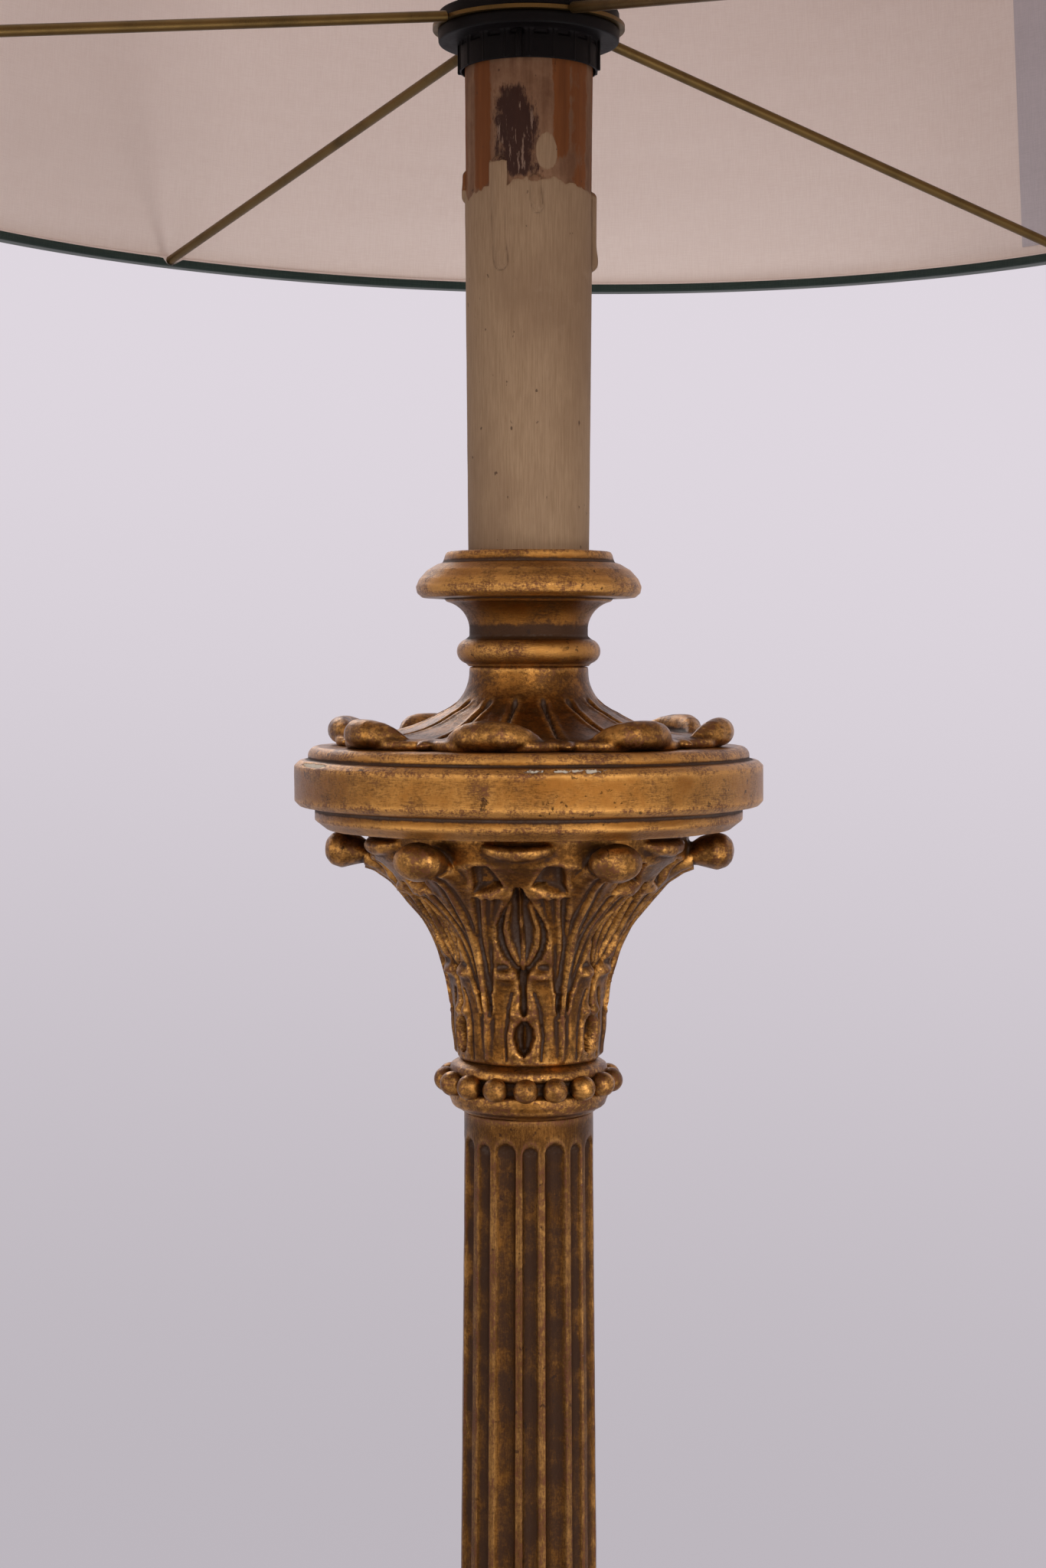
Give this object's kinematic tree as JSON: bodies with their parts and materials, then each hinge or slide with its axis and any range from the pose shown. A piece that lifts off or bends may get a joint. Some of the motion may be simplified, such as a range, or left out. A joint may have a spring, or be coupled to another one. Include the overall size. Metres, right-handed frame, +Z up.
{
  "type": "floor lamp",
  "caption": "Floor lamp: a carved giltwood column with a leaf capital, drip pan and candle sleeve, under a cone shade.",
  "frame": {"origin": "middle of the footprint, on the floor", "axes": "+Z up the lamp's axis, -Y the front, +X to the right"},
  "size_m": [0.5012, 0.5013, 1.6998],
  "materials": {
    "giltwood": "carved, gilded with leaf over red bole, rubbed and toned",
    "plain_wood": "plain beech",
    "felt": "dark felt",
    "cast_iron": "rough casting, black paint",
    "zinc_steel": "zinc plated",
    "black_plastic": "moulded, satin black",
    "ceramic": "white glazed ceramic",
    "brass_contact": "stamped brass",
    "brassed_steel": "dull brass coated wire",
    "candle_paint": "aged wax-coloured paint over wood",
    "green_cloth": "fine dark green cloth on a stiff backing",
    "lining_cloth": "pale woven lining",
    "edge_cloth": "rolled dark green edging",
    "nickel_cap": "pressed, satin",
    "opal_glass": "opal white"
  },
  "bodies": {
    "stand": {"plinth": "giltwood", "plinth_step": "giltwood", "foot_trumpet": "giltwood", "knop_ring": "giltwood", "baluster_vase": "giltwood", "lower_collar": "giltwood", "column": "giltwood", "bead_collar": "giltwood", "leaf_capital": "giltwood", "drip_pan": "giltwood", "leaf_spread": "giltwood", "candle_cup": "giltwood", "bun_feet": "giltwood", "felt_pads": "felt", "foot_dowels": "plain_wood", "ballast_weight": "cast_iron", "base_cover": "zinc_steel", "cover_screws": "zinc_steel", "cord_gland": "black_plastic", "threaded_rod": "zinc_steel", "lower_washer": "zinc_steel", "lower_nut": "zinc_steel", "upper_washer": "zinc_steel", "upper_nut": "zinc_steel", "candle_sleeve": "candle_paint", "sleeve_bushes": "plain_wood", "holder_cap": "black_plastic", "grub_screw": "zinc_steel", "holder_shell": "black_plastic", "holder_insert": "ceramic", "terminal_screws": "brass_contact", "contact_shell": "brass_contact", "centre_contact": "brass_contact"},
    "support_ring": {"support_ring": "black_plastic"},
    "clamp_ring": {"clamp_ring": "black_plastic"},
    "shade": {"carrier_ring": "brassed_steel", "carrier_arms": "brassed_steel", "bottom_rim_wire": "brassed_steel", "top_rim_wire": "brassed_steel", "shade_cover": "green_cloth", "shade_lining": "lining_cloth", "lining_seam": "lining_cloth", "bottom_binding": "edge_cloth", "top_binding": "edge_cloth"},
    "bulb": {"bulb_contact": "brass_contact", "bulb_insulator": "black_plastic", "bulb_cap": "nickel_cap", "bulb_glass": "opal_glass"}
  },
  "joints": [
    {"name": "shade_swivel", "type": "hinge", "parent": "stand", "child": "shade", "pos_m": [0, 0, 1.4343], "axis": [0, 0, 1], "continuous": true},
    {"name": "support_ring_turn", "type": "hinge", "parent": "stand", "child": "support_ring", "pos_m": [0, 0, 1.4343], "axis": [0, 0, 1], "continuous": true},
    {"name": "clamp_ring_turn", "type": "hinge", "parent": "stand", "child": "clamp_ring", "pos_m": [0, 0, 1.4355], "axis": [0, 0, 1], "continuous": true},
    {"name": "bulb_lift", "type": "slide", "parent": "stand", "child": "bulb", "axis": [0, 0, 1], "range_m": [0, 0.024]}
  ]
}
